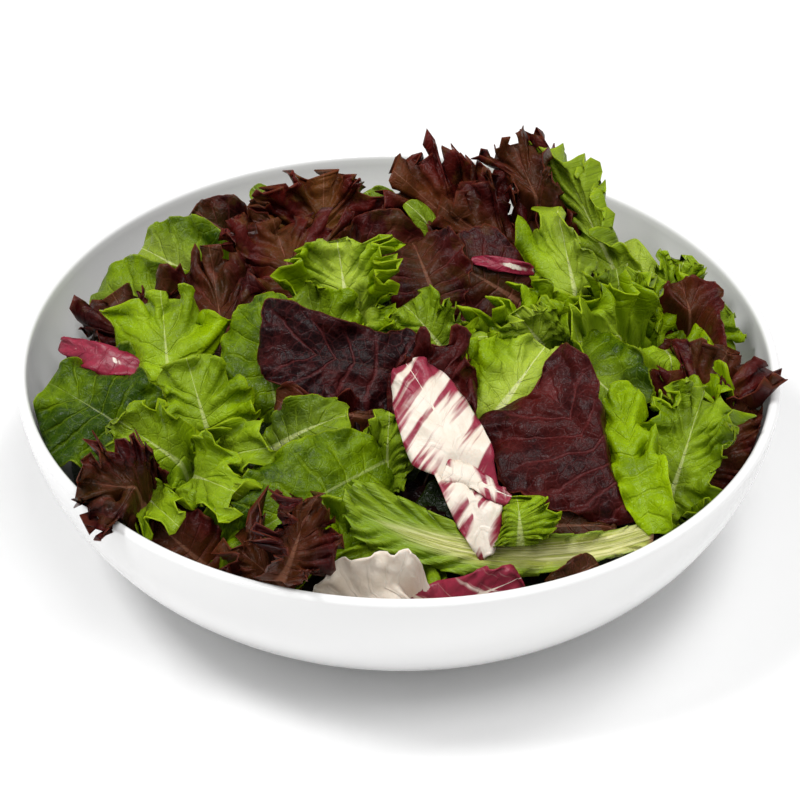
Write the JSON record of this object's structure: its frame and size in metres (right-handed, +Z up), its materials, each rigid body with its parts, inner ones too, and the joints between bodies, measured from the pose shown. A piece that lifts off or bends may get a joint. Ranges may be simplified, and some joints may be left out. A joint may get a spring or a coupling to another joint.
{
  "type": "bowl of mixed salad leaves",
  "caption": "Wide round white glazed bowl heaped with loose mixed salad leaves: green and dark red lettuce, frilly leaves and streaked radicchio.",
  "frame": {"origin": "centre of the bowl's foot ring, on the surface it stands on", "axes": "+Z up along the bowl's axis; the heap's serving side, where its leaves reach the rim, faces -Y; +X to the right of a viewer on that side"},
  "size_m": [0.2798, 0.2798, 0.1173],
  "materials": {
    "bowl": "gloss",
    "salad": "satin"
  },
  "bodies": {
    "root": {"bowl": "bowl", "salad": "salad"}
  },
  "joints": []
}
